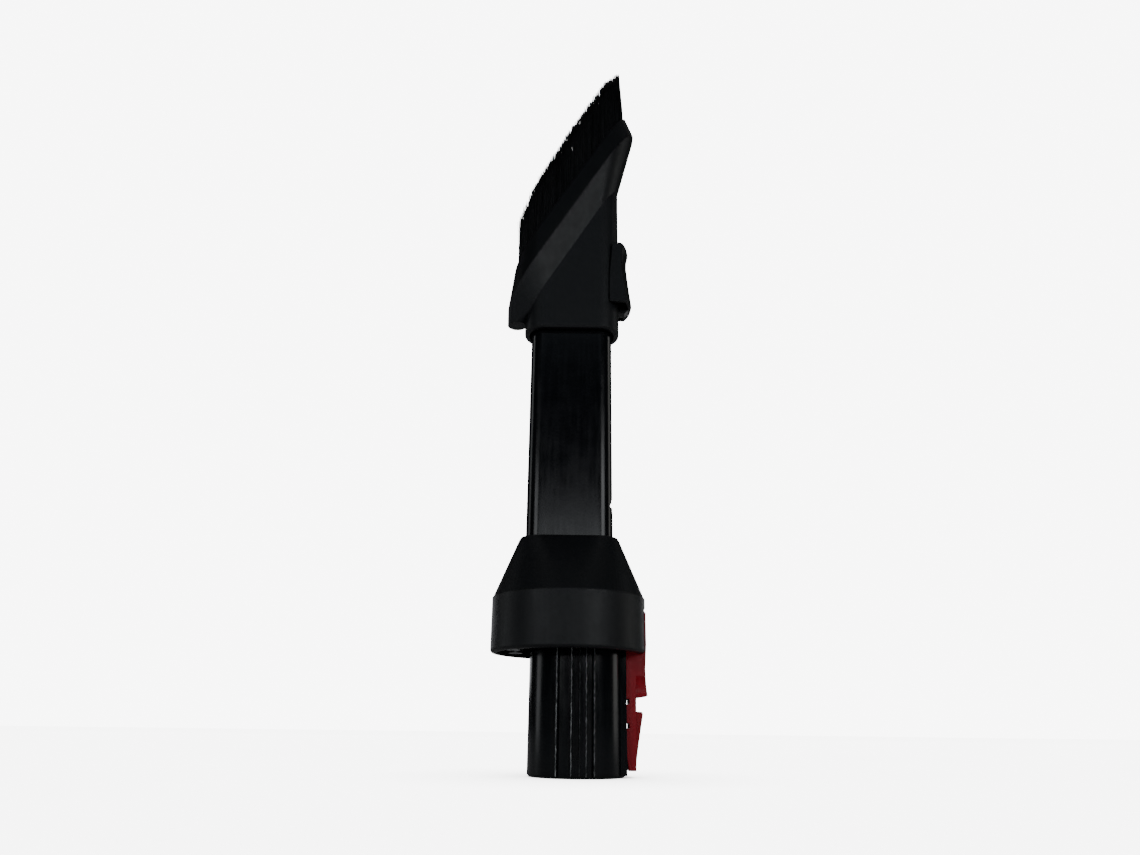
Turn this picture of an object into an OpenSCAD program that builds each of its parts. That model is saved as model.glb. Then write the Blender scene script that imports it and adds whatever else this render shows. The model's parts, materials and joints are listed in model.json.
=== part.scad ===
// Quick-release combination tool for a cordless cleaner:
// a flat duct on a round connector stub, with a dusting brush that slides along the duct.
// +Z runs from the stub's mouth to the bristle tips. The origin is on the stub's axis, at its mouth.

/* [Connector stub] */
// Outer diameter of the stub
stub_d = 35; // [32:0.5:42]
// Depth of the catch's pocket in the stub's side
pocket_depth = 2.9; // [2.6:0.1:4]
// Wall between the pocket and the air bore
pocket_floor = 1.2; // [1:0.1:2]
// Length of stub that shows below the collar
stub_reach = 41.7; // [38:0.1:55]
// Depth of the lengthwise flutes
flute_depth = 1.0; // [0.5:0.1:1.4]
// Distance of the duct's axis from the stub's axis
axis_shift = 3.45; // [0:0.05:6]

/* [Collar] */
// Height of the collar's round band
band_h = 19.9; // [16:0.1:28]
// Height of the collar's cone
cone_h = 22.9; // [20:0.1:32]
// Wall of the collar
collar_wall = 2.5; // [2:0.1:3.2]
// Space between the stub and the collar on the catch side
catch_gap = 5.25; // [4.8:0.05:8]
// How far the collar's top stands out around the duct, on its narrow sides
top_lip_x = 2.5; // [2:0.1:5]
// How far the collar's top stands out around the duct, on its broad sides
top_lip_y = 3.0; // [2:0.1:5]

/* [Duct] */
// Outer width of the duct
tube_w = 33.6; // [26:0.1:42]
// Outer thickness of the duct
tube_t = 14; // [13.5:0.5:18]
// Corner radius of the duct
tube_r = 6; // [4:0.1:6.6]
// Wall of the duct
tube_wall = 1.8; // [1.6:0.1:2.4]
// Length of duct above the collar, to the middle of its slanted mouth
tube_reach = 152.4; // [145:0.1:200]
// Slant of the mouth and of the brush, measured from the duct's axis
slant = 31; // [28:1:45]

/* [Brush carriage] */
// Travel of the brush along the duct
travel = 85; // [60:1:110]
// Gap between the duct and the sleeve
glide_gap = 1.0; // [0.8:0.1:1.6]
// Wall of the sleeve
sleeve_wall = 2.0; // [1.6:0.1:3]
// Sleeve height from its rim to the flange, at the duct's axis
sleeve_h = 39; // [34:0.5:50]
// How far the flange flares out at its narrow ends
flare_x = 7.5; // [4:0.1:10]
// How far the flange flares out on its broad sides
flare_y = 4.0; // [3:0.1:6]
// Height of the flare
flare_h = 17.8; // [12:0.1:22]
// Height of the bristle carrier
carrier_h = 14.6; // [10:0.1:20]
// How far the carrier's ends taper back in
taper_x = 2.8; // [2:0.1:5]
// Offset of the carrier's face towards the end away from the latch
face_shift = 0.5; // [0:0.1:1]
// How far the carrier's sides taper back in
taper_y = 2.0; // [1:0.1:3]
// Free length of the bristles
bristle_len = 30.5; // [20:0.5:40]

/* [Catch and latch] */
// Width of the release catch
catch_w = 12.6; // [10:0.1:14]
// Radius of the catch's pin
catch_pin_r = 1.2; // [0.9:0.05:1.3]
// Width of the brush's latch
latch_w = 18.4; // [15:0.2:19]
// Angle that the latch rocks by
latch_turn = 5; // [3:0.5:6]
// Radius of the latch's pin
latch_pin_r = 0.8; // [0.6:0.05:0.9]
// Radius of a collar screw's shank
screw_r = 1.35; // [1:0.05:1.5]

/* [Hidden] */
$fn = 64;
hull_fn = 96;
funnel_fn = 32;
eps = 0.01;
big = 400;

// Clearances
side_clear = 0.35;
fit_clear = 0.2;
pin_clear = 0.05;
slide_clear = 0.3;
root_clear = 0.05;

// Stub and collar
stub_r = stub_d / 2;
collar_in_r = stub_r + catch_gap + axis_shift;
collar_r = collar_in_r + collar_wall;
crease_z = stub_reach + band_h;
cone_top_z = crease_z + cone_h;
seat_t = 2.5;
seat_top_z = crease_z - 0.6;
seat_z = seat_top_z - seat_t;
rim_round = 1.2;
mouth_chamfer = 0.8;
mouth_lip = 1.5;
shoulder = 1.2;
cone_step = 0.2;
ledge = 2;
inner_cone_drop = 3;
cone_top_w = tube_w + 2 * top_lip_x;
cone_top_t = tube_t + 2 * top_lip_y;
cone_top_r = tube_r + 2;

// Catch and its pocket, which the catch's foot swings into
pivot_x = stub_r + 0.9;
pivot_z = crease_z - 7.6;
catch_tail_z = 2.3;
catch_foot_z = catch_tail_z + 6;
pocket_x = stub_r - pocket_depth;
bore_r = pocket_x - pocket_floor;
pocket_half = catch_w / 2 + side_clear;
rail_t = 1.8;
ear_r = catch_pin_r + 0.8;

// Screws of the collar
screw_x = -(stub_r + 5.7);
screw_y = 7;
post_r = 3.2;
post_z = stub_reach + 2.3;
head_r = 2.6;
head_h = 1.6;
screw_top_z = seat_top_z + 5;
boss_r = 3;

// Funnel, seal and duct
funnel_wall = 1.8;
socket_wall = 1.5;
socket_clear = 0.05;
funnel_z = seat_top_z;
funnel_h = 11;
ledge_h = 2;
seal_t = 1;
socket_h = 5;
seal_z = funnel_z + funnel_h + ledge_h;
tube_z = seal_z + seal_t;
tube_in_w = tube_w - 2 * tube_wall;
tube_in_t = tube_t - 2 * tube_wall;
tube_in_r = tube_r - tube_wall;
mouth_z = cone_top_z + tube_reach;
slope = 1 / tan(slant);

// Track and notches for the latch, on the duct's +X edge
track_depth = 0.6;
notch_depth = 1.0;
notch_h = 3.2;
hook_h = 2.2;
hook_w = 4.4;
hook_rise = 11.8;
rest_gap = 2;
low_notch_z = cone_top_z + rest_gap + hook_rise;
high_notch_z = low_notch_z + travel;

// Sleeve and flange. Each height is taken at the duct's axis.
sleeve_z = high_notch_z - hook_rise;
rim_cut = 0.8;
flange_z = sleeve_z + sleeve_h;
flare_z = flange_z + flare_h;
carrier_z = flare_z + carrier_h;
tip_z = carrier_z + bristle_len;
glide_w = tube_w + 2 * glide_gap;
glide_t = tube_t + 2 * glide_gap;
glide_r = tube_r + glide_gap;
sleeve_w = glide_w + 2 * sleeve_wall;
sleeve_t = glide_t + 2 * sleeve_wall;
sleeve_r = glide_r + sleeve_wall;
toe_z = flange_z - sleeve_w / 2 * slope - 0.9;
toe_r = 4;
flare_w = sleeve_w + 2 * flare_x;
flare_t = sleeve_t + 2 * flare_y;
flare_r = sleeve_r + flare_y;
face_w = flare_w - 2 * taper_x;
face_t = flare_t - 2 * taper_y;
face_r = flare_r - taper_y;
pad_w = 14;
pad_h = 20;
pad_z = 4;
pad_t = glide_gap - slide_clear;

// Bristle ring
face_rim = 1.0;
bore_rim = 1.0;
root_depth = 2.5;
ring_w = face_w - 2 * face_rim;
ring_t = face_t - 2 * face_rim;
ring_r = face_r - face_rim;
ring_in_w = glide_w + 2 * bore_rim + 1;
ring_in_t = glide_t + 2 * bore_rim;
ring_in_r = glide_r + bore_rim;
nose_trim = 1;
bristle_top_z = tip_z + (ring_w / 2 - face_shift) * slope - nose_trim;
strip_gap = 0.6;
strip_half = tube_w / 3;

// Latch: a hollow cap over the sleeve's side, bulged about an upright axis at bulge_x
latch_x = sleeve_w / 2 + 0.85;
latch_z = sleeve_z + 25.5;
latch_top_z = latch_z + 15.8;
latch_low_z = latch_z - 12.8;
latch_half = latch_w / 2;
latch_wall = 1.3;
latch_face = sleeve_w / 2 + 3.5;
bulge_x = 5;
lift_clear = 0.5;
ear_in = hook_w / 2 + 0.6;
ear_t = 1.8;
latch_ear_r = latch_pin_r + 0.4;
window_half = hook_w / 2 + 0.8;
window_drop = 3;
window_h = 7.5;
spring_wire = 0.25;

// A rectangle with true round corners
module slot2d(w, t, r) {
    square([w - 2 * r, t], center = true);
    square([w, t - 2 * r], center = true);
    for (sx = [-1, 1], sy = [-1, 1])
        translate([sx * (w / 2 - r), sy * (t / 2 - r)])
            circle(r);
}

// The same, extruded from z0 to z1
module bar(w, t, r, z0, z1) {
    translate([0, 0, z0])
        linear_extrude(z1 - z0)
            slot2d(w, t, r);
}

// Moves a piece from the stub's axis to the duct's axis
module on_duct() {
    translate([-axis_shift, 0, 0])
        children();
}

// Turns an outline in X and Z into a plate of width w across Y
module across_y(w) {
    rotate([90, 0, 0])
        linear_extrude(w, center = true)
            children();
}

// All space above a slanted plane that crosses the axis at z
module above(z) {
    translate([0, 0, z])
        rotate([0, slant - 90, 0])
            translate([-big / 2, -big / 2, 0])
                cube([big, big, big / 2]);
}

// All space below the same plane
module below(z) {
    translate([0, 0, z])
        rotate([0, slant - 90, 0])
            translate([-big / 2, -big / 2, -big / 2])
                cube([big, big, big / 2]);
}

// A thin level oval plate at z
module flat_plate(w, t, r, z) {
    bar(w, t, r, z, z + eps, $fn = hull_fn);
}

// A thin oval plate that lies in the slanted plane at z and fills t upward
module slant_plate(w, t, r, z, shift = 0) {
    multmatrix([[1, 0, 0, -shift], [0, 1, 0, 0], [slope, 0, 1, z - shift * slope], [0, 0, 0, 1]])
        linear_extrude(eps)
            slot2d(w, t, r, $fn = hull_fn);
}

// A helical spring along +Z, as one swept tube
module coil(r, wire, length, turns) {
    sides = 6;
    steps = 14;
    rings = turns * steps;
    function ring(i) = [
        for (j = [0 : sides - 1])
            let (a = 360 * i / steps, b = 360 * j / sides, q = r + wire * cos(b))
                [q * cos(a), q * sin(a), wire + (length - 2 * wire) * i / rings + wire * sin(b)]
    ];
    points = [for (i = [0 : rings]) each ring(i)];
    walls = [
        for (i = [0 : rings - 1], j = [0 : sides - 1])
            let (k = (j + 1) % sides, a = i * sides, b = a + sides)
                [a + j, b + j, b + k, a + k]
    ];
    first = [for (j = [0 : sides - 1]) j];
    last = [for (j = [0 : sides - 1]) rings * sides + sides - 1 - j];
    polyhedron(points, concat([first], walls, [last]));
}

// One lengthwise flute in the stub's front, from x0 to x1 and up from z0
module flute(x0, x1, z0) {
    difference() {
        translate([x0, -stub_r - 1, z0])
            cube([x1 - x0, stub_r - 2, seat_z - z0]);
        cylinder(r = stub_r - flute_depth, h = big, center = true);
    }
}

// The flutes on one broad side: two that run out of the mouth, and a key slot between them
module flutes() {
    key_z = 6.2;
    flute(-6.9, -2.35, -1);
    flute(-1.75, 0.5, key_z);
    flute(3.4, 5.6, -1);
}

// Fine raised lines along the flutes' edges
module beads() {
    bead_r = 0.3;
    for (x = [-7.2, -2.05, 0.8, 3.1, 5.9])
        translate([x, -sqrt(stub_r * stub_r - x * x), mouth_chamfer])
            cylinder(r = bead_r, h = seat_z - mouth_chamfer, $fn = 24);
}

module connector_stub() {
    color("#16171a")
    difference() {
        union() {
            rotate_extrude()
                polygon([
                    [0, 0], [stub_r - mouth_chamfer, 0], [stub_r, mouth_chamfer],
                    [stub_r, seat_top_z], [0, seat_top_z]
                ]);
            on_duct()
                translate([0, 0, seat_z])
                    cylinder(r = collar_in_r - fit_clear, h = seat_t);
            translate([bore_r, -pocket_half - rail_t, mouth_chamfer])
                cube([stub_r - bore_r, 2 * (pocket_half + rail_t), seat_z - mouth_chamfer + eps]);
            pivot_ears();
            beads();
            mirror([0, 1, 0])
                beads();
            for (side = [-1, 1])
                translate([screw_x, side * screw_y, post_z])
                    cylinder(r = post_r, h = seat_z - post_z + eps);
        }
        cylinder(r = bore_r, h = big, center = true);
        translate([pocket_x, -pocket_half, mouth_lip])
            cube([stub_r, 2 * pocket_half, seat_z - mouth_lip]);
        translate([pivot_x, 0, pivot_z])
            rotate([90, 0, 0])
                cylinder(r = catch_pin_r + pin_clear, h = stub_d, center = true);
        for (side = [-1, 1])
            translate([screw_x, side * screw_y, 0])
                cylinder(r = screw_r + pin_clear, h = big, center = true);
        flutes();
        mirror([0, 1, 0])
            flutes();
    }
}

// Two ears beside the pocket that carry the catch's pin
module pivot_ears() {
    for (side = [-1, 1])
        translate([0, side * (pocket_half + rail_t / 2), 0])
            across_y(rail_t) {
                translate([pivot_x, pivot_z])
                    circle(ear_r);
                translate([bore_r, pivot_z - ear_r])
                    square([pivot_x - bore_r, seat_z - pivot_z + ear_r]);
            }
}

module cone_outside() {
    hull() {
        translate([0, 0, crease_z])
            cylinder(r = collar_r - cone_step, h = eps, $fn = hull_fn);
        flat_plate(cone_top_w, cone_top_t, cone_top_r, cone_top_z - shoulder);
        flat_plate(cone_top_w - shoulder, cone_top_t - shoulder, cone_top_r, cone_top_z - eps);
    }
}

module cone_inside() {
    hull() {
        translate([0, 0, seat_top_z])
            cylinder(r = collar_in_r - ledge, h = eps, $fn = hull_fn);
        flat_plate(cone_top_w - 2, cone_top_t + 0.4, cone_top_r, cone_top_z - inner_cone_drop);
    }
}

// The round band below the cone, with a rounded rim
module band() {
    rotate_extrude() {
        translate([collar_in_r, stub_reach])
            square([collar_wall - rim_round, seat_top_z - stub_reach]);
        translate([collar_in_r, stub_reach + rim_round])
            square([collar_wall, band_h - rim_round]);
        translate([collar_r - rim_round, stub_reach + rim_round])
            circle(rim_round);
        translate([collar_in_r - ledge, seat_top_z])
            square([ledge + collar_wall / 2, crease_z - seat_top_z]);
    }
}

module collar_shell() {
    color("#3a3c40")
    difference() {
        union() {
            on_duct() {
                band();
                difference() {
                    cone_outside();
                    cone_inside();
                }
            }
            intersection() {
                for (side = [-1, 1])
                    translate([screw_x, side * screw_y, seat_top_z])
                        cylinder(r = boss_r, h = cone_h);
                on_duct()
                    cone_outside();
            }
            intersection() {
                for (side = [-1, 1])
                    translate([screw_x, side * screw_y, seat_top_z])
                        cylinder(r = boss_r, h = crease_z - seat_top_z + eps);
                on_duct()
                    translate([0, 0, stub_reach])
                        cylinder(r = collar_r - 1, h = big);
            }
        }
        on_duct()
            bar(tube_w + 2 * fit_clear, tube_t + 2 * fit_clear, tube_r + fit_clear, tube_z, big);
        translate([stub_r, -pocket_half, stub_reach - 1])
            cube([collar_r, 2 * pocket_half, seat_z - stub_reach + 1]);
        for (side = [-1, 1])
            translate([screw_x, side * screw_y, seat_z])
                cylinder(r = screw_r + pin_clear, h = screw_top_z - seat_z + 1);
    }
}

module collar_screws() {
    color("#9a9c9f")
    for (side = [-1, 1])
        translate([screw_x, side * screw_y, 0])
            difference() {
                union() {
                    translate([0, 0, post_z - head_h])
                        cylinder(r = head_r, h = head_h);
                    translate([0, 0, post_z - eps])
                        cylinder(r = screw_r, h = screw_top_z - post_z + eps);
                }
                translate([0, 0, post_z - head_h - eps])
                    cylinder(r = head_r / 2, h = head_h / 2 + eps, $fn = 6);
            }
}

module duct_funnel() {
    socket_w = tube_w + 2 * (socket_clear + socket_wall);
    socket_t = tube_t + 2 * (socket_clear + socket_wall);
    socket_r = tube_r + socket_clear + socket_wall;
    color("#1d1e21")
    difference() {
        union() {
            hull() {
                translate([0, 0, funnel_z])
                    cylinder(r = bore_r + funnel_wall, h = eps, $fn = 64);
                on_duct()
                    translate([0, 0, funnel_z + funnel_h])
                        linear_extrude(eps)
                            slot2d(socket_w, socket_t, socket_r, $fn = funnel_fn);
            }
            on_duct()
                bar(socket_w, socket_t, socket_r, funnel_z + funnel_h, tube_z + socket_h);
        }
        hull() {
            translate([0, 0, funnel_z - eps])
                cylinder(r = bore_r, h = eps, $fn = 64);
            on_duct()
                translate([0, 0, funnel_z + funnel_h])
                    linear_extrude(eps)
                        slot2d(tube_in_w, tube_in_t, tube_in_r, $fn = funnel_fn);
        }
        on_duct() {
            bar(tube_in_w, tube_in_t, tube_in_r, funnel_z + funnel_h - eps, big);
            bar(tube_w + 2 * socket_clear, tube_t + 2 * socket_clear, tube_r + socket_clear, seal_z, big);
        }
    }
}

module duct_seal() {
    color("#0c0c0d")
    on_duct()
        difference() {
            bar(tube_w, tube_t, tube_r, seal_z, seal_z + seal_t);
            bar(tube_in_w, tube_in_t, tube_in_r, seal_z - 1, seal_z + seal_t + 1);
        }
}

module nozzle_tube() {
    color("#121316")
    on_duct()
        difference() {
            bar(tube_w, tube_t, tube_r, tube_z, mouth_z + tube_w * slope);
            bar(tube_in_w, tube_in_t, tube_in_r, tube_z - 1, big);
            above(mouth_z);
            translate([tube_w / 2 - track_depth, -hook_w / 2 - slide_clear, low_notch_z - notch_h])
                cube([tube_w, hook_w + 2 * slide_clear, big]);
            for (z = [low_notch_z, high_notch_z])
                translate([tube_w / 2 - notch_depth, -tube_t, z - notch_h / 2])
                    cube([tube_w, 2 * tube_t, notch_h]);
        }
}

module catch_pin() {
    color("#9a9c9f")
    translate([pivot_x, 0, pivot_z])
        rotate([90, 0, 0])
            cylinder(r = catch_pin_r, h = 2 * (pocket_half + rail_t), center = true);
}

// Place and seat of the catch's spring
spring_z = pivot_z - 16;
catch_spring_r = 1.7;
catch_spring_seat = 1.8;

module catch_spring() {
    color("#b8babd")
    translate([pocket_x, 0, spring_z])
        rotate([0, 90, 0])
            coil(catch_spring_r, spring_wire, stub_r + catch_spring_seat - pocket_x, 4);
}

// Outlines of the catch in X and Z
catch_face = stub_r + 3.6;
catch_top_z = pivot_z + 3.3;
paddle_x = collar_r - axis_shift - 0.2;
paddle_z = 26.5;
tooth_z = 21;
tooth_w = 8.8;

// The spine that lies along the stub, with two small gaps behind it
module catch_spine() {
    gap_x = stub_r + 1.1;
    gaps = [for (z = [tooth_z + 3.1, tooth_z - 5]) each [
        [stub_r, z + 2.1], [gap_x, z + 1.8], [gap_x, z + 0.3], [stub_r, z]
    ]];
    across_y(catch_w)
        polygon(concat([
            [stub_r + 0.7, catch_tail_z], [catch_face - 0.3, catch_tail_z], [catch_face, catch_foot_z],
            [catch_face, catch_top_z], [pivot_x - 2.4, catch_top_z],
            [pivot_x - 2.4, pivot_z - 4], [stub_r, pivot_z - 7]
        ], gaps, [[stub_r, catch_foot_z]]));
}

// The thumb paddle, scooped on both sides at its lower end
module catch_paddle() {
    scoop_r = 7;
    waist = 4.7;
    difference() {
        across_y(catch_w)
            polygon([
                [catch_face - 1, paddle_z - 1], [catch_face, paddle_z], [paddle_x + 0.3, paddle_z + 0.7],
                [paddle_x, paddle_z + 3.1], [paddle_x - 0.4, paddle_z + 7], [paddle_x - 0.5, paddle_z + 10],
                [paddle_x - 0.3, paddle_z + 13], [paddle_x, stub_reach + 3],
                [paddle_x, catch_top_z - 1], [paddle_x - 1, catch_top_z], [catch_face - 1, catch_top_z]
            ]);
        for (side = [-1, 1])
            translate([catch_face, side * (waist + scoop_r), paddle_z + 3])
                rotate([0, 90, 0])
                    cylinder(r = scoop_r, h = collar_r);
    }
}

// The tooth that locks behind the socket's ledge, and the ramp below it
module catch_tooth() {
    across_y(tooth_w)
        polygon([
            [catch_face - 1, catch_tail_z + 1], [catch_face - 0.1, catch_tail_z + 2.6],
            [catch_face + 0.9, catch_tail_z + 9.3], [catch_face + 2.5, tooth_z],
            [catch_face + 2.2, tooth_z + 0.8], [catch_face - 1, tooth_z + 1]
        ]);
}

module release_catch() {
    color("#a3121f")
    difference() {
        intersection() {
            union() {
                catch_spine();
                catch_paddle();
                catch_tooth();
            }
            on_duct()
                cylinder(r = collar_r + 0.5, h = big);
        }
        translate([pivot_x, 0, pivot_z])
            rotate([90, 0, 0])
                cylinder(r = catch_pin_r + pin_clear, h = stub_d, center = true);
        translate([stub_r - 1, 0, spring_z])
            rotate([0, 90, 0])
                cylinder(r = catch_spring_r + spring_wire + 0.3, h = 1 + catch_spring_seat);
    }
}

// The sleeve's two ears that carry the latch's pin
module latch_ears() {
    reach = latch_x - glide_w / 2;
    for (side = [-1, 1])
        translate([0, side * (ear_in + ear_t / 2), 0])
            across_y(ear_t) {
                translate([latch_x, latch_z])
                    circle(latch_ear_r);
                translate([latch_x - reach, latch_z - latch_ear_r])
                    square([reach, 2 * latch_ear_r]);
            }
}

module brush_sleeve() {
    color("#303236")
    on_duct()
        difference() {
            union() {
                difference() {
                    bar(sleeve_w, sleeve_t, sleeve_r, sleeve_z + rim_cut, flare_z + sleeve_w * slope);
                    above(flange_z + 0.5);
                }
                hull() {
                    flat_plate(sleeve_w - rim_cut, sleeve_t - rim_cut, sleeve_r, sleeve_z);
                    flat_plate(sleeve_w, sleeve_t, sleeve_r, sleeve_z + rim_cut);
                }
                hull() {
                    slant_plate(sleeve_w, sleeve_t, sleeve_r, flange_z);
                    slant_plate(flare_w, flare_t, flare_r, flare_z - eps);
                    translate([toe_r - flare_w / 2, 0, toe_z])
                        cylinder(r = toe_r, h = eps, $fn = hull_fn);
                }
                latch_ears();
            }
            bar(glide_w, glide_t, glide_r, sleeve_z - 1, big);
            translate([latch_x, 0, latch_z])
                rotate([90, 0, 0])
                    cylinder(r = latch_pin_r + pin_clear, h = 2 * sleeve_t, center = true);
            translate([glide_w / 2 - sleeve_wall, -window_half, high_notch_z - window_drop])
                cube([sleeve_w, 2 * window_half, window_h]);
        }
}

// The outline of the ring that the bristles are set in, grown by c
module ring2d(c) {
    difference() {
        translate([-face_shift, 0])
            slot2d(ring_w + 2 * c, ring_t + 2 * c, ring_r + c);
        slot2d(ring_in_w - 2 * c, ring_in_t - 2 * c, ring_in_r - c);
    }
}

// The bristle ring as an upright solid between the carrier's face and the tips, cut level at the nose
module ring_solid(c) {
    difference() {
        translate([0, 0, sleeve_z])
            linear_extrude(bristle_top_z - sleeve_z)
                ring2d(c);
        below(carrier_z - root_depth - c);
        above(tip_z);
    }
}

module bristle_carrier() {
    color("#1a1b1e")
    on_duct()
        difference() {
            hull() {
                slant_plate(flare_w, flare_t, flare_r, flare_z);
                slant_plate(face_w, face_t, face_r, carrier_z - eps, face_shift);
            }
            bar(glide_w, glide_t, glide_r, sleeve_z - 1, big);
            ring_solid(root_clear);
        }
}

// One strip of bristles: the part of the ring inside a box
module strip(x0, x1, y0, y1) {
    color("#0b0b0c")
    on_duct()
        intersection() {
            ring_solid(0);
            translate([x0, y0, 0])
                cube([x1 - x0, y1 - y0, big]);
        }
}

module bristles_front() {
    strip(-strip_half, strip_half, -big / 2, 0);
}

module bristles_back() {
    strip(-strip_half, strip_half, 0, big / 2);
}

module bristles_nose() {
    strip(strip_half + strip_gap, big / 2, -big / 2, big / 2);
}

module bristles_heel() {
    strip(-big / 2, -strip_half - strip_gap, -big / 2, big / 2);
}

// A flat glide pad on one broad inner face of the sleeve
module glide_pad(side) {
    color("#d8d8d4")
    on_duct()
        translate([-pad_w / 2, side > 0 ? glide_t / 2 - pad_t : -glide_t / 2, sleeve_z + pad_z])
            cube([pad_w, pad_t, pad_h]);
}

module glide_pad_front() {
    glide_pad(-1);
}

module glide_pad_back() {
    glide_pad(1);
}

module latch_pin() {
    color("#9a9c9f")
    on_duct()
        translate([latch_x, 0, latch_z])
            rotate([90, 0, 0])
                cylinder(r = latch_pin_r, h = latch_w - latch_wall, center = true);
}

// Place of the latch's spring, above the pin, and the inner face of the cap that it pushes on
latch_spring_z = latch_z + 9;
latch_spring_r = 1.4;
latch_spring_x = latch_face - latch_wall - 0.15;

module latch_spring() {
    color("#b8babd")
    on_duct()
        translate([sleeve_w / 2, 0, latch_spring_z])
            rotate([0, 90, 0])
                coil(latch_spring_r, spring_wire, latch_spring_x - sleeve_w / 2, 3);
}

// A solid of revolution about the bulge's axis. Its outline gives x at the latch's middle, and z.
module bulge(points) {
    translate([bulge_x, 0, 0])
        rotate_extrude($fn = 96)
            polygon([for (p = points) [p[0] - bulge_x, p[1]]]);
}

// The latch's outline, inset by t, down to z0
module latch_outline(t, z0) {
    face = latch_face - t;
    bulge([
        [bulge_x, z0], [face + 1.7, z0], [face + 2.1, latch_low_z + 1.5], [face + 1.4, latch_z - 6],
        [face + 0.7, latch_z], [face, latch_z + 7], [face + 0.1, latch_z + 10.5],
        [face + 0.8, latch_top_z - 2 - t], [face + 0.5, latch_top_z - 0.6 - t],
        [face - 0.4, latch_top_z - t], [bulge_x, latch_top_z - t]
    ]);
}

// Room for the sleeve's side, with the latch at rest and pressed
module latch_room() {
    for (turn = [0, latch_turn])
        translate([latch_x, 0, latch_z])
            rotate([0, turn, 0])
                translate([-latch_x, 0, -latch_z])
                    bar(
                        sleeve_w + 2 * lift_clear, sleeve_t + 2 * lift_clear,
                        sleeve_r + lift_clear, sleeve_z - 5, carrier_z
                    );
}

// The arm inside the cap, with the hook that drops into the duct's notches
module hook_arm() {
    hook_x = tube_w / 2 - slide_clear;
    arm_x = sleeve_w / 2 + 0.6;
    hook_z = high_notch_z - hook_h / 2;
    across_y(hook_w)
        polygon([
            [hook_x, hook_z], [arm_x + 2, hook_z], [arm_x + 4, latch_low_z + 0.2],
            [arm_x + 4, latch_low_z + 4], [arm_x, latch_low_z + 4],
            [arm_x, hook_z + hook_h], [hook_x, hook_z + hook_h]
        ]);
}

module latch_button() {
    color("#242529")
    on_duct()
        difference() {
            intersection() {
                latch_outline(0, latch_low_z);
                translate([tube_w / 2 - 2, -latch_half, 0])
                    cube([sleeve_w, latch_w, big]);
            }
            latch_room();
            difference() {
                intersection() {
                    latch_outline(latch_wall, latch_low_z - 1);
                    translate([0, -latch_half + latch_wall, 0])
                        cube([sleeve_w, latch_w - 2 * latch_wall, big]);
                }
                hook_arm();
            }
            translate([latch_x, 0, latch_z])
                rotate([90, 0, 0])
                    cylinder(r = latch_pin_r + pin_clear, h = latch_w - latch_wall + 0.1, center = true);
        }
    color("#242529")
    on_duct()
        hook_arm();
}

connector_stub();
collar_shell();
duct_funnel();
duct_seal();
nozzle_tube();
collar_screws();
catch_pin();
catch_spring();
release_catch();
brush_sleeve();
bristle_carrier();
bristles_front();
bristles_back();
bristles_nose();
bristles_heel();
glide_pad_front();
glide_pad_back();
latch_pin();
latch_spring();
latch_button();
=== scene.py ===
"""Looks of the quick-release combination tool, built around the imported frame. Metres."""
import json
import math
import random

import bpy
from mathutils import Matrix, Vector


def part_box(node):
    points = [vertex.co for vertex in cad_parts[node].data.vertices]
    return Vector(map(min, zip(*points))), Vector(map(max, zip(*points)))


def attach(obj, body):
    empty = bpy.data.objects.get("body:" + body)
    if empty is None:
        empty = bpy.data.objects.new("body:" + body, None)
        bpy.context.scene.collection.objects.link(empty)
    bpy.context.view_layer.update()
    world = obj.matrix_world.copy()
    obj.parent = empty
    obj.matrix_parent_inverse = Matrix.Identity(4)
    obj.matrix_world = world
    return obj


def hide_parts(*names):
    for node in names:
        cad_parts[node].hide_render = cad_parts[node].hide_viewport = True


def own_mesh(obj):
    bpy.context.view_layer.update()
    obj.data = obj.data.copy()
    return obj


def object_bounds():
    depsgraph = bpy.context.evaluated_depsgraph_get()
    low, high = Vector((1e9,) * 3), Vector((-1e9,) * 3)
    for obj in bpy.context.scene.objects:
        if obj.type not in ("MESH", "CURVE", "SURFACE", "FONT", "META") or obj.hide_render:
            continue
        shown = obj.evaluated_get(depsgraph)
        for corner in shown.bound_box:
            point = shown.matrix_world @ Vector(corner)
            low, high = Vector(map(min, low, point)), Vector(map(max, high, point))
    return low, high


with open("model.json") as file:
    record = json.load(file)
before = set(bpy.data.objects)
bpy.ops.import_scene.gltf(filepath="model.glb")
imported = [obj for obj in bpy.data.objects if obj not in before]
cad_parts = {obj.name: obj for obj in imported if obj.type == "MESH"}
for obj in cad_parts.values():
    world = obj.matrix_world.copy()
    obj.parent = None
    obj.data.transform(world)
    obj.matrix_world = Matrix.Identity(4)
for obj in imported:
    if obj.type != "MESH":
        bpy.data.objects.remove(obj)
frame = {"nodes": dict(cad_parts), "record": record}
CAD_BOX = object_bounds()
MM = 0.001


# ---------------------------------------------------------------- helpers

def new_mesh(name, verts, faces, smooth=True):
    """A mesh object from lists of points and faces."""
    mesh = bpy.data.meshes.new(name)
    mesh.from_pydata(verts, [], faces)
    mesh.update()
    obj = bpy.data.objects.new(name, mesh)
    bpy.context.scene.collection.objects.link(obj)
    if smooth:
        mesh.shade_smooth()
    return obj


def area_light(name, place, target, size, power, colour):
    """A soft rectangular light that faces target."""
    data = bpy.data.lights.new(name, "AREA")
    data.shape = "RECTANGLE"
    data.size, data.size_y = size
    data.energy = power
    data.color = colour
    obj = bpy.data.objects.new(name, data)
    obj.location = place
    aim = Vector(target) - Vector(place)
    obj.rotation_euler = aim.to_track_quat("-Z", "Y").to_euler()
    bpy.context.scene.collection.objects.link(obj)


# ---------------------------------------------------------------- materials

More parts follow.
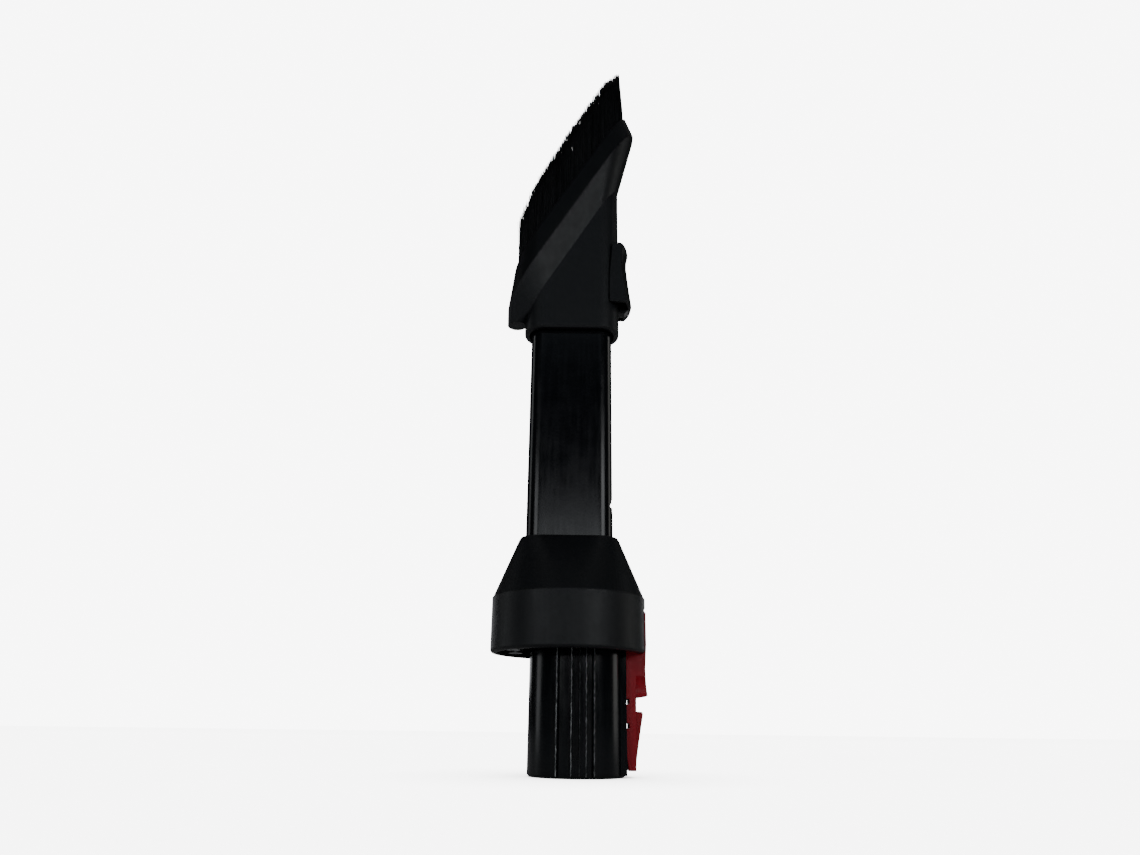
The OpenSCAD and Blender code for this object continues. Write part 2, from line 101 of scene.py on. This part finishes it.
class Nodes:
    """A new material with a Principled shader and short ways to add nodes to it."""

    def __init__(self, name, colour, roughness, metallic=0.0):
        self.mat = bpy.data.materials.new(name)
        self.mat.use_nodes = True
        self.tree = self.mat.node_tree
        self.shader = self.tree.nodes["Principled BSDF"]
        self.shader.inputs["Base Color"].default_value = (*colour, 1)
        self.shader.inputs["Roughness"].default_value = roughness
        self.shader.inputs["Metallic"].default_value = metallic
        self.place = self.add("ShaderNodeTexCoord").outputs["Object"]

    def add(self, kind, **settings):
        node = self.tree.nodes.new(kind)
        for key, value in settings.items():
            setattr(node, key, value)
        return node

    def join(self, source, socket):
        self.tree.links.new(source, socket)

    def stretched(self, scale):
        """Object coordinates scaled by a different amount along each axis."""
        node = self.add("ShaderNodeMapping")
        node.inputs["Scale"].default_value = scale
        self.join(self.place, node.inputs["Vector"])
        return node.outputs["Vector"]

    def noise(self, scale, detail=4, vector=None):
        node = self.add("ShaderNodeTexNoise")
        node.inputs["Scale"].default_value = scale
        node.inputs["Detail"].default_value = detail
        self.join(vector or self.place, node.inputs["Vector"])
        return node.outputs["Fac"]

    def ramp(self, source, low, high, from_min=0.35, from_max=0.65):
        """Maps a noise to the range low..high."""
        node = self.add("ShaderNodeMapRange")
        node.inputs["From Min"].default_value = from_min
        node.inputs["From Max"].default_value = from_max
        node.inputs["To Min"].default_value = low
        node.inputs["To Max"].default_value = high
        self.join(source, node.inputs["Value"])
        return node.outputs["Result"]

    def tint(self, source, dark, light):
        """Mixes two colours by a 0..1 factor."""
        node = self.add("ShaderNodeMix", data_type="RGBA")
        self.join(source, node.inputs["Factor"])
        node.inputs["A"].default_value = (*dark, 1)
        node.inputs["B"].default_value = (*light, 1)
        return node.outputs["Result"]

    def bump(self, source, strength, distance, before=None):
        node = self.add("ShaderNodeBump")
        node.inputs["Strength"].default_value = strength
        node.inputs["Distance"].default_value = distance
        self.join(source, node.inputs["Height"])
        if before is not None:
            self.join(before, node.inputs["Normal"])
        return node.outputs["Normal"]

    def set(self, socket, source):
        self.join(source, self.shader.inputs[socket])


def moulded(name, colour, light, roughness, grain, grain_size, swirl):
    """Moulded plastic: faint colour drift, handling marks in the gloss and a fine spark-eroded grain."""
    m = Nodes(name, colour, roughness)
    drift = m.ramp(m.noise(40, 5), 0, 1)
    m.set("Base Color", m.tint(drift, colour, light))
    marks = m.noise(160, 8)
    streaks = m.noise(1, 6, m.stretched((900, 900, 60)))
    both = m.add("ShaderNodeMath", operation="MULTIPLY_ADD")
    m.join(marks, both.inputs[0])
    both.inputs[1].default_value = 0.6
    half = m.ramp(streaks, 0, 0.4, 0.3, 0.7)
    m.join(half, both.inputs[2])
    m.set("Roughness", m.ramp(both.outputs[0], roughness - swirl, roughness + swirl, 0.2, 0.8))
    soft = m.add("ShaderNodeBevel", samples=4)
    soft.inputs["Radius"].default_value = 0.00035
    fine = m.bump(m.noise(grain_size, 3), grain, 0.00005, soft.outputs["Normal"])
    m.set("Normal", m.bump(m.noise(90, 2), 0.06, 0.0004, fine))
    return m


# Two colours to drift between, roughness, depth and fineness of the grain, and swing of the roughness
GLOSS_BLACK = ((0.0036, 0.0044, 0.0062), (0.0052, 0.0062, 0.0086), 0.18, 0.10, 2500, 0.06)
SATIN_GREY = ((0.0064, 0.0074, 0.0096), (0.0088, 0.0100, 0.0126), 0.44, 0.45, 5200, 0.06)
SATIN_BLACK = ((0.0034, 0.0040, 0.0056), (0.0050, 0.0058, 0.0078), 0.42, 0.45, 5200, 0.06)
DEEP_RED = ((0.46, 0.002, 0.014), (0.58, 0.004, 0.022), 0.36, 0.2, 3600, 0.06)
PALE_PAD = ((0.62, 0.62, 0.58), (0.74, 0.74, 0.70), 0.5, 0.3, 3000, 0.05)
BLACK_RUBBER = ((0.006, 0.006, 0.006), (0.012, 0.012, 0.012), 0.75, 0.6, 3000, 0.05)

gloss_black = moulded("gloss_black_plastic", *GLOSS_BLACK)
satin_grey = moulded("satin_charcoal_plastic", *SATIN_GREY)
satin_black = moulded("satin_black_plastic", *SATIN_BLACK)
deep_red = moulded("deep_red_plastic", *DEEP_RED)
pale_pad = moulded("pale_glide_plastic", *PALE_PAD)
black_rubber = moulded("black_seal_rubber", *BLACK_RUBBER)


# Each raised line of the stub: its x and how strong its painted highlight is
RIDGES = ((-0.0072, 1.0), (-0.00205, 0.8), (0.0008, 0.12), (0.0031, 0.6), (0.0059, 0.5))
# Distances from the stub's axis between which the painted highlight fades in, so that it stays off the bore
# and the flutes
SKIN = (0.01740, 0.01755)


def painted_ridge_highlights(name, plastic, lines):
    """A moulded plastic with pale speckled highlights painted into its colour along the fine raised lines of
    the stub.
    """
    m = moulded(name, *plastic)
    split = m.add("ShaderNodeSeparateXYZ")
    m.join(m.place, split.inputs[0])
    wobble = m.ramp(m.noise(700, 2), -0.00008, 0.00008, 0.3, 0.7)
    across = m.add("ShaderNodeMath", operation="ADD")
    m.join(split.outputs["X"], across.inputs[0])
    m.join(wobble, across.inputs[1])
    total = None
    for x, strength in lines:
        off = m.add("ShaderNodeMath", operation="SUBTRACT")
        m.join(across.outputs[0], off.inputs[0])
        off.inputs[1].default_value = x
        size = m.add("ShaderNodeMath", operation="ABSOLUTE")
        m.join(off.outputs[0], size.inputs[0])
        band = m.ramp(size.outputs[0], strength, 0.0, 0.00010, 0.00026)
        if total is not None:
            most = m.add("ShaderNodeMath", operation="MAXIMUM")
            m.join(band, most.inputs[0])
            m.join(total, most.inputs[1])
            band = most.outputs[0]
        total = band
    outer = m.add("ShaderNodeVectorMath", operation="LENGTH")
    flat = m.add("ShaderNodeVectorMath", operation="MULTIPLY")
    flat.inputs[1].default_value = (1, 1, 0)
    m.join(m.place, flat.inputs[0])
    m.join(flat.outputs[0], outer.inputs[0])
    skin = m.ramp(outer.outputs["Value"], 0, 1, *SKIN)
    specks = m.ramp(m.noise(1, 5, m.stretched((1500, 1500, 420))), 0.15, 1, 0.42, 0.62)
    # Painted highlight: pale specks along each raised line stand in for the light its edges catch
    painted_glint = m.add("ShaderNodeMath", operation="MULTIPLY")
    m.join(total, painted_glint.inputs[0])
    m.join(specks, painted_glint.inputs[1])
    both = m.add("ShaderNodeMath", operation="MULTIPLY")
    m.join(painted_glint.outputs[0], both.inputs[0])
    m.join(skin, both.inputs[1])
    plain = m.shader.inputs["Base Color"].links[0].from_socket
    blend = m.add("ShaderNodeMix", data_type="RGBA")
    m.join(both.outputs[0], blend.inputs["Factor"])
    m.join(plain, blend.inputs["A"])
    blend.inputs["B"].default_value = (0.62, 0.64, 0.64, 1)
    m.set("Base Color", blend.outputs["Result"])
    return m


def steel_material():
    """Plain steel with fine turning marks."""
    m = Nodes("plain_steel", (0.56, 0.57, 0.59), 0.3, metallic=1.0)
    lines = m.noise(1, 4, m.stretched((4000, 4000, 300)))
    m.set("Roughness", m.ramp(lines, 0.22, 0.42))
    drift = m.ramp(m.noise(700, 3), 0, 1)
    m.set("Base Color", m.tint(drift, (0.46, 0.47, 0.49), (0.62, 0.63, 0.65)))
    m.set("Normal", m.bump(lines, 0.15, 0.00002))
    return m


def bristle_material():
    """Black nylon filament: each strand a little different, with a soft gloss along it."""
    m = Nodes("black_nylon_bristle", (0.006, 0.006, 0.007), 0.36)
    strand = m.noise(1, 2, m.stretched((2600, 2600, 30)))
    m.set("Base Color", m.tint(m.ramp(strand, 0, 1), (0.003, 0.003, 0.004), (0.014, 0.014, 0.016)))
    m.set("Roughness", m.ramp(strand, 0.28, 0.46))
    return m


steel = steel_material()
# The stub's gloss black, with pale highlights painted along its raised lines
stub_look = painted_ridge_highlights("gloss_black_painted_highlights", GLOSS_BLACK, RIDGES)
bristle = bristle_material()

LOOKS = {
    "gloss_black": gloss_black, "satin_grey": satin_grey, "satin_black": satin_black,
    "deep_red": deep_red, "pale_pad": pale_pad, "black_rubber": black_rubber,
    "steel": steel, "black_bristle": bristle,
}
for entry in frame["record"]["subparts"]:
    cad = frame["nodes"][entry["node"]]
    look = stub_look if entry["node"] == "connector_stub" else LOOKS[entry["material_slot"]]
    cad.data.materials.clear()
    cad.data.materials.append(look.mat)


# ---------------------------------------------------------------- bristles

STRIPS = ("bristles_front", "bristles_back", "bristles_nose", "bristles_heel")
FRONT, BACK, NOSE, HEEL = (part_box(name) for name in STRIPS)
# The duct's axis, and how far the ring's outer outline stands off it
AXIS_X = (FRONT[0][0] + FRONT[1][0]) / 2
SHIFT = (NOSE[1][0] + HEEL[0][0]) / 2 - AXIS_X
# The head leans by the part's slant angle; the strips start at a depth below the carrier's face
SLANT = math.radians(31)
SLOPE = 1 / math.tan(SLANT)
ROOT_DEPTH = 2.5 * MM
FACE_Z = FRONT[0][2] + ROOT_DEPTH + SLOPE * (FRONT[1][0] - FRONT[0][0]) / 2
STRIP_HALF = (FRONT[1][0] - FRONT[0][0]) / 2 + 0.3 * MM

# Half width, half thickness and corner radius of the ring's outer and inner outline
OUTER = ((NOSE[1][0] - HEEL[0][0]) / 2, BACK[1][1], 10 * MM)
INNER = (OUTER[0] - 4.2 * MM, OUTER[1] - 2 * MM, 8 * MM)

TUFTS = 44
PER_TUFT = 150
STRAND_SINK = 1.6 * MM
BED_SINK = 0.4 * MM
# The tips of the bristles beyond NOSE_START lean in, by NOSE_LEAN at the ring's end
NOSE_START = 13 * MM
NOSE_LEAN = 2.4 * MM

# Free length of the bristles in millimetres, at places across the head in millimetres from the duct's axis
LENGTHS = ((-23.5, 23.2), (-18.0, 25.0), (-10.0, 27.8), (0.0, 30.7), (14.5, 31.0),
           (17.0, 29.0), (19.5, 27.9), (22.0, 28.4), (23.5, 28.8))


def ring_place(f, turn):
    """A point in the ring: f runs from the inner to the outer outline, turn once round from 0 to 1."""
    half_w, half_t, radius = (inner + (outer - inner) * f for inner, outer in zip(INNER, OUTER))
    core_x, core_y = half_w - radius, half_t - radius
    arc = (INNER[2] + OUTER[2]) / 2 * math.pi / 2
    parts = (2 * core_x, arc, 2 * core_y, arc) * 2
    along = (turn % 1.0) * sum(parts)
    side = 0
    while along > parts[side]:
        along -= parts[side]
        side += 1
    flip = 1 if side < 4 else -1
    if side % 4 == 0:
        x, y = along - core_x, -half_t
    elif side % 4 == 2:
        x, y = half_w, along - core_y
    else:
        first = side % 4 == 1
        angle = along / arc * math.pi / 2 - (math.pi / 2 if first else 0)
        x = core_x + radius * math.cos(angle)
        y = (-core_y if first else core_y) + radius * math.sin(angle)
    return flip * x + SHIFT * f, flip * y


def free_length(x):
    """Bristle length at x, measured from the duct's axis."""
    x = min(max(x / MM, LENGTHS[0][0]), LENGTHS[-1][0])
    for (x0, l0), (x1, l1) in zip(LENGTHS, LENGTHS[1:]):
        if x <= x1:
            return (l0 + (l1 - l0) * (x - x0) / (x1 - x0)) * MM


def strip_of(x, y):
    """The CAD strip that a place in the ring belongs to."""
    if x > STRIP_HALF:
        return "bristles_nose"
    if x < -STRIP_HALF:
        return "bristles_heel"
    return "bristles_front" if y < 0 else "bristles_back"


def add_strand(verts, faces, root, tip, sway, width, spin):
    """One tapered three-sided filament, bent a little between its root and its tip."""
    steps = 5
    start = len(verts)
    for i in range(steps + 1):
        t = i / steps
        bend = math.sin(math.pi * t)
        rise = (t * t, t * t, t)
        centre = [root[k] + (tip[k] - root[k]) * rise[k] + sway[k] * bend for k in range(3)]
        r = width * (1 - 0.45 * t)
        for j in range(3):
            a = spin + 2 * math.pi * j / 3
            verts.append((centre[0] + r * math.cos(a), centre[1] + r * math.sin(a), centre[2]))
    for i in range(steps):
        for j in range(3):
            a, b = start + 3 * i + j, start + 3 * i + (j + 1) % 3
            faces.append((a, b, b + 3, a + 3))
    end = start + 3 * steps
    faces.append((end, end + 1, end + 2))


def grow_bristles():
    """Tufts set round the ring, one mesh for each strip that they replace."""
    rng = random.Random(11)
    meshes = {name: ([], []) for name in STRIPS}
    for tuft in range(TUFTS):
        centre = (tuft + 0.5) / TUFTS
        lean = rng.gauss(0, 0.12 * MM)
        drop = rng.uniform(-0.1, 0.25) * MM
        for _ in range(PER_TUFT):
            offset = rng.uniform(-0.6, 0.6)
            f = rng.uniform(0.06, 0.94)
            x, y = ring_place(f, centre + offset / TUFTS)
            length = free_length(x) + drop + rng.uniform(-0.8, 0.4) * MM
            base = FACE_Z + SLOPE * x
            inward = max(0.0, x - NOSE_START) / (OUTER[0] - NOSE_START)
            splay = rng.gauss(0, 0.5 * MM)
            root = (AXIS_X + x, y, base - STRAND_SINK)
            tip = (
                AXIS_X + x + lean + splay - NOSE_LEAN * inward,
                y + rng.gauss(0, 0.4 * MM) - 0.25 * MM * (f - 0.5),
                base + length,
            )
            sway = (rng.gauss(0, 0.1 * MM), rng.gauss(0, 0.1 * MM), 0)
            verts, faces = meshes[strip_of(x, y)]
            width = rng.uniform(0.1, 0.135) * MM
            spin = rng.uniform(0, 6.28)
            add_strand(verts, faces, root, tip, sway, width, spin)
    for name, (verts, faces) in meshes.items():
        tufts = new_mesh("tufts_" + name.split("_")[1], verts, faces)
        tufts.data.materials.append(bristle.mat)
        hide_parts(name)
        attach(tufts, "brush_carriage")


def bristle_bed():
    """The carrier's face between the tufts."""
    steps = 180
    verts, faces = [], []
    for i in range(steps):
        for f in (-0.04, 1.04):
            x, y = ring_place(f, i / steps)
            verts.append((AXIS_X + x, y, FACE_Z + SLOPE * x - BED_SINK))
    for i in range(steps):
        a, b = 2 * i, 2 * ((i + 1) % steps)
        faces.append((a, a + 1, b + 1, b))
    bed = new_mesh("bristle_bed", verts, faces, False)
    bed.data.materials.append(satin_black.mat)
    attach(bed, "brush_carriage")


grow_bristles()
bristle_bed()


# ---------------------------------------------------------------- springs

def coil_spring(name, node, turns, wire, body):
    """A round wire coil along X in a spring's place."""
    low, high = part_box(node)
    centre = [(a + b) / 2 for a, b in zip(low, high)]
    radius = (high[2] - low[2]) / 2 - wire
    length = high[0] - low[0] - 2 * wire
    steps, sides = 28 * turns, 8
    verts, faces = [], []
    for i in range(steps + 1):
        turn = 2 * math.pi * turns * i / steps
        for j in range(sides):
            around = 2 * math.pi * j / sides
            reach = radius + wire * math.cos(around)
            along = low[0] + wire + length * i / steps + wire * math.sin(around)
            y = centre[1] + reach * math.sin(turn)
            z = centre[2] + reach * math.cos(turn)
            verts.append((along, y, z))
    for i in range(steps):
        for j in range(sides):
            a, b = i * sides + j, i * sides + (j + 1) % sides
            faces.append((a, b, b + sides, a + sides))
    faces.append(tuple(range(sides)))
    faces.append(tuple(steps * sides + sides - 1 - j for j in range(sides)))
    spring = new_mesh(name, verts, faces)
    spring.data.materials.append(steel.mat)
    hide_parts(node)
    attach(spring, body)
    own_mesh(spring)


# Radius of the wire
WIRE = 0.25 * MM
coil_spring("catch_coil", "catch_spring", 4, WIRE, "nozzle")
coil_spring("latch_coil", "latch_spring", 3, WIRE, "brush_carriage")


# ---------------------------------------------------------------- camera, light and floor

scene = bpy.context.scene

CAMERA_PLACE = Vector((-3.70, -314.7, 16.0)) * MM
PITCH = math.radians(20.07)
ROLL = math.radians(0.72)
lens = bpy.data.cameras.new("camera")
lens.sensor_width = 36
lens.lens = 26
camera = bpy.data.objects.new("camera", lens)
turn = Matrix.Rotation(math.pi / 2 + PITCH, 4, "X") @ Matrix.Rotation(ROLL, 4, "Z")
camera.matrix_world = Matrix.Translation(CAMERA_PLACE) @ turn
scene.collection.objects.link(camera)
scene.camera = camera

# The world and the floor look brighter to the camera than to the part: BACKDROP is what the camera sees
BACKDROP = 8.0

world = bpy.data.worlds.new("studio")
world.use_nodes = True
scene.world = world
tree = world.node_tree
back = tree.nodes["Background"]
back.inputs["Color"].default_value = (0.9, 0.93, 1.0, 1)
back.inputs["Strength"].default_value = 0.008
shown = tree.nodes.new("ShaderNodeBackground")
shown.inputs["Color"].default_value = (1, 1, 1, 1)
shown.inputs["Strength"].default_value = BACKDROP
path = tree.nodes.new("ShaderNodeLightPath")
mix = tree.nodes.new("ShaderNodeMixShader")
tree.links.new(path.outputs["Is Camera Ray"], mix.inputs["Fac"])
tree.links.new(back.outputs["Background"], mix.inputs[1])
tree.links.new(shown.outputs["Background"], mix.inputs[2])
tree.links.new(mix.outputs["Shader"], tree.nodes["World Output"].inputs["Surface"])

middle = (CAD_BOX[0] + CAD_BOX[1]) / 2
area_light("front_low", (0.0, -1.3, 0.32), middle, (1.2, 0.18), 1.1, (0.92, 0.96, 1))
area_light("front_right", (1.05, -1.15, 0.45), middle, (0.7, 0.4), 2.4, (0.95, 0.98, 1))
area_light("front_left", (-1.05, -1.15, 0.4), middle, (0.7, 0.35), 1.6, (0.95, 0.98, 1))
area_light("front_fill", (0.0, -1.2, 1.1), middle, (1.6, 0.6), 0.7, (0.80, 0.90, 1))
area_light("side_right", (1.1, 0.25, 0.3), middle, (0.3, 1.0), 0.9, (1, 1, 0.97))
area_light("side_left", (-1.1, 0.25, 0.3), middle, (0.3, 1.0), 0.8, (0.95, 0.98, 1))
area_light("back_low", (0.0, 1.3, 0.25), middle, (2.0, 0.3), 2.0, (0.95, 0.97, 1))
area_light("overhead", (0.0, 0.5, 1.5), middle, (1.2, 1.2), 1.5, (1, 1, 1))

HALF = 3.0
corners = [(-HALF, -HALF, 0), (HALF, -HALF, 0), (HALF, HALF, 0), (-HALF, HALF, 0)]
floor = new_mesh("floor", corners, [(0, 1, 2, 3)], False)
floor_look = Nodes("pale_floor", (0.86, 0.86, 0.86), 0.8)
pale = floor_look.tint(floor_look.noise(6, 3), (0.84, 0.84, 0.84), (0.88, 0.88, 0.88))
floor_look.set("Base Color", pale)
floor_look.set("Emission Color", pale)
glow = floor_look.add("ShaderNodeMath", operation="MULTIPLY")
floor_look.join(floor_look.add("ShaderNodeLightPath").outputs["Is Camera Ray"], glow.inputs[0])
# Painted shadow: ambient occlusion dims the floor's camera-only glow near the part, a painted contact shadow
painted_contact_shadow = floor_look.add("ShaderNodeAmbientOcclusion", samples=8)
painted_contact_shadow.inputs["Distance"].default_value = 0.06
floor_look.join(floor_look.ramp(painted_contact_shadow.outputs["AO"], 1.0, BACKDROP, 0.1, 1.0), glow.inputs[1])
floor_look.set("Emission Strength", glow.outputs[0])
floor.data.materials.append(floor_look.mat)
